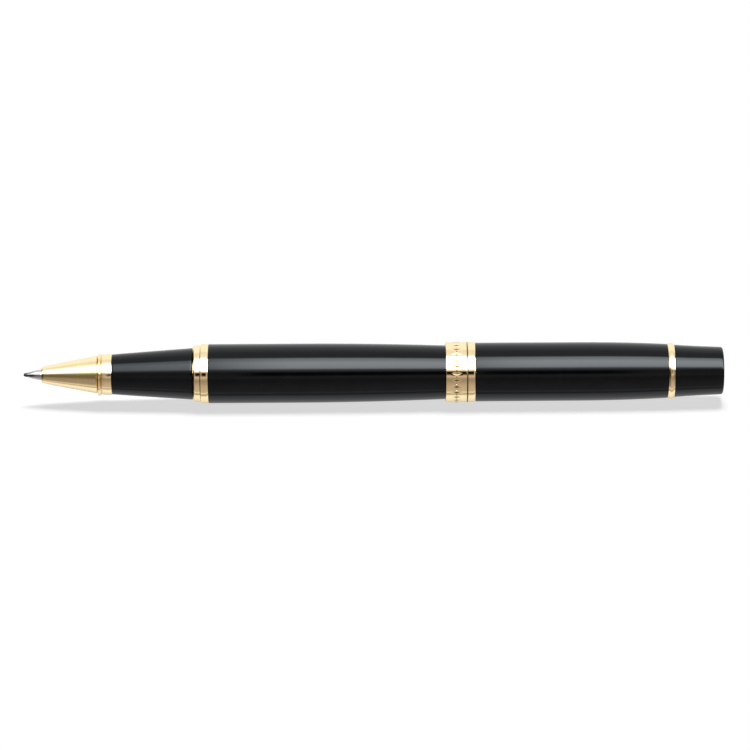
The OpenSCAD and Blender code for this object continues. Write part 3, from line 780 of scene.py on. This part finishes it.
def clip_half_width(x):
    """Half the clip's width: round ends, straight sides."""
    tip_centre = CLIP_TIP + TIP_HALF
    head_centre = CLIP_HEAD - HEAD_HALF
    if x < tip_centre:
        return math.sqrt(max(0.0, TIP_HALF**2 - (tip_centre - x) ** 2))
    if x > head_centre:
        return math.sqrt(max(0.0, HEAD_HALF**2 - (x - head_centre) ** 2))
    return TIP_HALF + (HEAD_HALF - TIP_HALF) * (x - tip_centre) / (head_centre - tip_centre)


def clip_top(x):
    """Height of the arched bar's face over the pen's axis."""
    return 8.4 - 9e-4 * (x - 118) ** 2


def clip_section(x):
    """The bar's outline at x as (y, z): a crowned face, rounded edges, a flat underside."""
    half = clip_half_width(x)
    top = clip_top(x)
    from_end = min(x - CLIP_TIP, CLIP_HEAD - x)
    thin = 0.0
    if from_end < THIN_REACH:
        thin = THIN_DEPTH * (1 - math.sqrt(max(0.0, 1 - (1 - from_end / THIN_REACH) ** 2)))
    edge = min(0.34, half * 0.8)
    low_edge = min(0.16, half * 0.4)
    low = top - CLIP_THICK + thin
    points = []
    for k in range(9):  # crowned face, from one edge rounding to the other
        y = (half - edge) * (1 - k / 4)
        points.append((y, math.sqrt(top * top - y * y) - thin))
    shoulder = points[-1][1] - edge
    for k in range(1, 6):
        a = math.pi / 2 * k / 6
        points.append((-(half - edge) - edge * math.sin(a), shoulder + edge * math.cos(a)))
    for k in range(5):
        a = math.pi / 2 * k / 4
        points.append((-half + low_edge * (1 - math.cos(a)), low + low_edge * (1 - math.sin(a))))
    for k in range(4, -1, -1):
        a = math.pi / 2 * k / 4
        points.append((half - low_edge * (1 - math.cos(a)), low + low_edge * (1 - math.sin(a))))
    for k in range(5, 0, -1):
        a = math.pi / 2 * k / 6
        points.append(((half - edge) + edge * math.sin(a), shoulder + edge * math.cos(a)))
    return points


def clip_bar():
    """The bar, lofted through its sections."""
    inset = 0.012
    ends = [inset, 0.03, 0.06, 0.1, 0.16, 0.24, 0.34, 0.46, 0.62, 0.82, 1.05, 1.3]
    stations = [CLIP_TIP + e for e in ends]
    stations += steps_between(CLIP_TIP + 1.5, CLIP_HEAD - 2.1, 44)
    stations += [CLIP_HEAD - e for e in (1.9, 1.6, *reversed(ends))]
    bm = bmesh.new()
    rings = [[bm.verts.new(Vector((x, y, z)) * MM) for y, z in clip_section(x)] for x in stations]
    for a, b in zip(rings, rings[1:]):
        for k in range(len(a)):
            n = (k + 1) % len(a)
            bm.faces.new((a[k], a[n], b[n], b[k]))
    bm.faces.new(rings[0])
    bm.faces.new(list(reversed(rings[-1])))
    bmesh.ops.recalc_face_normals(bm, faces=bm.faces)
    mesh = bpy.data.meshes.new("clip_bar")
    bm.to_mesh(mesh)
    bm.free()
    return mesh


def cross_roller(x, z, radius, half, rounding):
    """A short roller across the clip, with rounded ends."""
    outline = [(-half, 0), (-half, radius, rounding), (half, radius, rounding), (half, 0)]
    mesh = lathe("roller", outline, 64)
    mesh.transform(Matrix.Translation((x * MM, 0, z * MM)) @ Matrix.Rotation(math.pi / 2, 4, "Z"))
    return mesh


def make_clip():
    """Bar, bump, neck, pivot eye and tail, joined into one closed mesh."""
    bump_x, bump_r = 101.6, 0.9
    pivot_x, pivot_z = 132.0, 3.2
    neck, eye, pin = 0.85, 1.1, 0.6
    eye_half = neck + 0.02  # so that its ends stand clear of the neck's sides
    mesh = clip_bar()
    bump = cross_roller(bump_x, cap_out(bump_x) + 0.03 + bump_r, bump_r, TIP_HALF - 0.25, 0.35)
    mesh = combined(mesh, bump, "clip", "UNION")
    stem_top = clip_top(pivot_x) - 0.5
    stem = rounded_block((pivot_x - 0.9, -neck, pivot_z), (pivot_x + 0.9, neck, stem_top), 0.15)
    mesh = combined(mesh, stem, "clip", "UNION")
    tail = rounded_block((pivot_x - 0.7, -neck, 0.9), (pivot_x + 0.7, neck, pivot_z), 0.12)
    mesh = combined(mesh, tail, "clip", "UNION")
    mesh = combined(mesh, cross_roller(pivot_x, pivot_z, eye, eye_half, 0.08), "clip", "UNION")
    mesh = cut(mesh, cross_roller(pivot_x, pivot_z, pin + 0.03, neck + 1, 0.01), "clip")
    mesh.transform(CLIP_TURN)
    return new_piece("pocket_clip", mesh, "clip", "gold_plate", GOLD_CLIP, "clip")


# ---------------------------------------------------------------- CAD nodes that stay, with their finishes


def dress(node, material, bevel=0.03):
    """A carried-over CAD node gets its finish, a small machined bevel and smooth shading."""
    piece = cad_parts[node]
    piece.data.materials.clear()
    piece.data.materials.append(material)
    for face in piece.data.polygons:
        face.use_smooth = True
    step = piece.modifiers.new("edges", "BEVEL")
    step.width = bevel * MM
    step.segments = 2
    step.limit_method = "ANGLE"
    step.angle_limit = math.radians(40)
    step.harden_normals = True


INNER_FINISHES = {
    "refill_nose": REFILL_PLASTIC,
    "refill_tube": TUBE_STEEL,
    "refill_plug": REFILL_PLASTIC,
    "ink_reservoir": INK_FIBRE,
    "ink_wick": WICK_FIBRE,
    "section_sleeve": BRASS,
    "thread_bush": BRASS,
    "tail_sleeve": GUIDE_PLASTIC,
    "refill_spring": SPRING_STEEL,
    "cap_clutch": CLUTCH_STEEL,
    "inner_cap": INNER_PLASTIC,
    "clip_carrier": GUIDE_PLASTIC,
    "clip_pin": TUBE_STEEL,
    "clip_spring": SPRING_STEEL,
    "finial_stud": BRASS,
}


# ---------------------------------------------------------------- stage, light and camera


def make_floor():
    """A white table that glows a little, so that it stays white and keeps a soft shadow. It can't be seen
    from below, and the pen's polish doesn't mirror it: the room's light stands in for it there. The pen
    rests on it with its front ring and the head of its clip, so it falls a little towards the cap."""
    front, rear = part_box("barrel_ring")[0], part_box("clip")
    rise = rear[0].z - front.z
    run = rear[1].x - HEAD_HALF * MM - front.x
    bm = bmesh.new()
    bmesh.ops.create_grid(bm, x_segments=1, y_segments=1, size=3)
    mesh = bpy.data.meshes.new("table_top")
    bm.to_mesh(mesh)
    bm.free()
    floor = bpy.data.objects.new("table_top", mesh)
    floor.location = (front.x, 0, front.z)
    floor.rotation_euler = (0, -math.atan2(rise, run), 0)
    bpy.context.scene.collection.objects.link(floor)
    m = Nodes("table_white")
    m.set(Base_Color=(0.8, 0.8, 0.8, 1), Roughness=1.0, Specular_IOR_Level=0.0)
    m.set(Emission_Color=(1, 1, 1, 1), Emission_Strength=0.67)
    clear = m.add("ShaderNodeBsdfTransparent")
    side = m.add("ShaderNodeNewGeometry")
    mix = m.add("ShaderNodeMixShader")
    out = m.tree.nodes["Material Output"]
    m.link(side.outputs["Backfacing"], mix.inputs[0])
    m.link(m.shader.outputs[0], mix.inputs[1])
    m.link(clear.outputs[0], mix.inputs[2])
    m.link(mix.outputs[0], out.inputs["Surface"])
    mesh.materials.append(m.material)
    floor.visible_glossy = False


# What the pen's polish mirrors, by height round its axis: degrees from the camera's side (0) over the top
# (90) to the far side (180) and below (270), with a strength there. SOFTBOX and WALLS are light. LEFT is what
# part of the walls' light is left for what looks well to the left, GAP is what part of it the camera's own
# dark lens takes away, and END_LIGHT is a small light over the front end, for whoever looks from behind it.
SOFTBOX = [
    (20, 0), (22, 0.2), (25, 0.6), (28, 1.2), (30, 2.6), (34, 8.5), (38, 11.2), (46, 12.3), (54, 13.0),
    (60, 12.3), (66, 9.5), (74, 7.5), (80, 0),
]
WALLS = [
    (0, 0.62), (12, 0.5), (20, 0.5), (26, 0.8), (32, 0.9), (84, 1.05), (98, 0.94), (108, 0.96), (114, 1.15),
    (150, 1.12), (190, 0.95), (225, 0.7), (245, 0.95), (270, 1.12), (277, 1.0), (281, 0.7), (285, 0.38),
    (289, 0.6), (292, 0.85), (296, 0.8), (300, 0.6), (316, 0.57), (328, 0.5), (336, 0.42), (345, 0.34),
    (350, 0.35), (355, 0.47),
]
LEFT = [
    (0, 0.25), (8, 0.28), (16, 0.5), (26, 0.85), (34, 1), (300, 1), (308, 0.6), (325, 0.68), (336, 0.85),
    (346, 0.8), (352, 0.4),
]
GAP = [(3, 0), (9, 1), (17, 1), (21, 0)]
END_LIGHT = [(62, 0), (76, 6.0), (98, 6.0), (118, 0)]
WARM = (1.0, 0.86, 0.78, 1)  # the colour of the walls where they are dim
DEEP = (1.0, 0.90, 0.50, 1)  # and where they are dimmer still
SOFTBOX_LEFT = 0.15  # what part of the softbox's strength its left end has
LEAST_LIGHT = 0.006


class RoomNodes:
    """Short calls for the world's node tree. A value may be a number, a colour or another node's socket."""

    def __init__(self, tree):
        self.tree = tree

    def put(self, socket, value):
        """Set a socket, or link it where the value is a socket itself."""
        if isinstance(value, bpy.types.NodeSocket):
            self.tree.links.new(value, socket)
        else:
            socket.default_value = value

    def math(self, operation, first, second=0.0):
        """A math node's result."""
        node = self.tree.nodes.new("ShaderNodeMath")
        node.operation = operation
        self.put(node.inputs[0], first)
        self.put(node.inputs[1], second)
        return node.outputs[0]

    def blend(self, factor, first, second):
        """From the first colour to the second as the factor goes from 0 to 1."""
        node = self.tree.nodes.new("ShaderNodeMix")
        node.data_type = "RGBA"
        for name, value in (("Factor", factor), ("A", first), ("B", second)):
            self.put(node.inputs[name], value)
        return node.outputs["Result"]

    def fade(self, value, dark_at, light_at):
        """From 0 at dark_at to 1 at light_at, smoothly."""
        node = self.tree.nodes.new("ShaderNodeMapRange")
        node.interpolation_type = "SMOOTHSTEP"
        self.put(node.inputs["Value"], value)
        node.inputs["From Min"].default_value = dark_at
        node.inputs["From Max"].default_value = light_at
        return node.outputs["Result"]

    def profile(self, turn, stops):
        """Light by height, from (degrees, strength) stops."""
        top = max(light for _, light in stops)
        node = self.tree.nodes.new("ShaderNodeValToRGB")
        self.put(node.inputs[0], turn)
        elements = node.color_ramp.elements
        elements.remove(elements[1])
        elements[0].position = 0.0
        if stops[0][0] > 0:
            stops = [(0, 0), *stops, (360, 0)]
        else:
            stops = [*stops, (360, stops[0][1])]
        for i, (degrees, light) in enumerate(stops):
            stop = elements[0] if i == 0 else elements.new(degrees / 360)
            stop.color = (light / top, light / top, light / top, 1)
        return self.math("MULTIPLY", node.outputs["Color"], top)


def make_room():
    """What the pen mirrors: a long softbox over its front, and walls round it that darken to both sides. The
    camera itself sees plain white, and rays that have left a dull surface see nothing."""
    world = bpy.data.worlds.new("room")
    bpy.context.scene.world = world
    world.use_nodes = True
    world.cycles_visibility.diffuse = False
    room = RoomNodes(world.node_tree)
    nodes, links = world.node_tree.nodes, world.node_tree.links
    place = nodes.new("ShaderNodeTexCoord")
    split = nodes.new("ShaderNodeSeparateXYZ")
    links.new(place.outputs["Generated"], split.inputs[0])
    along, away, up = split.outputs
    angle = room.math("ARCTAN2", up, room.math("MULTIPLY", away, -1.0))
    turn = room.math("FRACT", room.math("DIVIDE", angle, 2 * math.pi))

    fall = room.math("MULTIPLY", room.fade(along, -0.32, 0.0), 1 - SOFTBOX_LEFT)
    fall = room.math("ADD", fall, SOFTBOX_LEFT)
    fall = room.math("MULTIPLY", fall, room.fade(along, -0.84, -0.66))
    softbox = room.math("MULTIPLY", room.profile(turn, SOFTBOX), fall)

    walls = room.math("MULTIPLY", room.profile(turn, WALLS), room.fade(along, -0.6, -0.45))
    lost = room.math("SUBTRACT", 1.0, room.profile(turn, LEFT))
    lost = room.math("MULTIPLY", room.fade(along, -0.15, -0.38), lost)
    walls = room.math("MULTIPLY", walls, room.math("SUBTRACT", 1.0, lost))
    walls = room.math("MULTIPLY", walls, room.fade(along, 0.95, 0.5))
    near = room.fade(room.math("ABSOLUTE", along), 0.16, 0.09)
    gap = room.math("MULTIPLY", room.profile(turn, GAP), near)
    walls = room.math("MULTIPLY", walls, room.math("SUBTRACT", 1.0, gap))

    end_light = room.math("MULTIPLY", room.profile(turn, END_LIGHT), room.fade(along, -0.86, -0.95))
    light = room.math("ADD", room.math("ADD", softbox, walls), room.math("ADD", end_light, LEAST_LIGHT))
    rays = nodes.new("ShaderNodeLightPath")
    light = room.math("MULTIPLY", light, room.math("LESS_THAN", rays.outputs["Diffuse Depth"], 0.5))

    dim_tone = room.blend(room.fade(light, 0.14, 0.36), DEEP, WARM)
    tone = room.blend(room.fade(light, 0.5, 0.9), dim_tone, (1, 1, 1, 1))
    mirrored = nodes["Background"]
    links.new(tone, mirrored.inputs["Color"])
    links.new(light, mirrored.inputs["Strength"])
    backdrop = nodes.new("ShaderNodeBackground")
    backdrop.inputs["Color"].default_value = (1, 1, 1, 1)
    mix = nodes.new("ShaderNodeMixShader")
    links.new(rays.outputs["Is Camera Ray"], mix.inputs[0])
    links.new(mirrored.outputs[0], mix.inputs[1])
    links.new(backdrop.outputs[0], mix.inputs[2])
    links.new(mix.outputs[0], nodes["World Output"].inputs["Surface"])


def make_lamp():
    """The soft lamp over the pen, which throws the shadow under it."""
    data = bpy.data.lights.new("overhead", "SUN")
    data.energy = 1.52
    data.angle = math.radians(26)
    lamp = bpy.data.objects.new("overhead", data)
    lamp.rotation_euler = (math.radians(-22), math.radians(3.5), 0)
    bpy.context.scene.collection.objects.link(lamp)
    lamp.visible_glossy = False


VIEW_X = 0.0742  # where along the pen the camera looks
VIEW_WIDTH = 0.1584  # what the picture's width takes in at the pen's axis
VIEW_DISTANCE = 0.85
VIEW_DROP = 0.0005  # how far below the axis the camera looks
VIEW_ELEVATION = math.radians(16)
VIEW_ROLL = math.radians(0.36)


def make_camera():
    """A long lens from the front and a little above, turned by a hair as the pen isn't quite level."""
    data = bpy.data.cameras.new("camera")
    data.sensor_width = 36
    data.lens = data.sensor_width * VIEW_DISTANCE / VIEW_WIDTH
    camera = bpy.data.objects.new("camera", data)
    back = Vector((0, -math.cos(VIEW_ELEVATION), math.sin(VIEW_ELEVATION)))
    camera.location = Vector((VIEW_X, 0, -VIEW_DROP)) + back * VIEW_DISTANCE
    aim = (-back).to_track_quat("-Z", "Y").to_matrix().to_4x4()
    camera.rotation_euler = (aim @ Matrix.Rotation(-VIEW_ROLL, 4, "Z")).to_euler()
    data.clip_start = 0.01
    bpy.context.scene.collection.objects.link(camera)
    bpy.context.scene.camera = camera


make_ball()
make_point()
make_cone()
make_grip()
make_loose_ring()
make_barrel_ring()
make_barrel()
make_barrel_end()
make_band()
make_cap()
make_clip_ring()
make_finial()
make_clip()
for node, finish in INNER_FINISHES.items():
    dress(node, finish)

make_floor()
make_room()
make_lamp()
make_camera()
bpy.context.scene.view_settings.view_transform = "Standard"
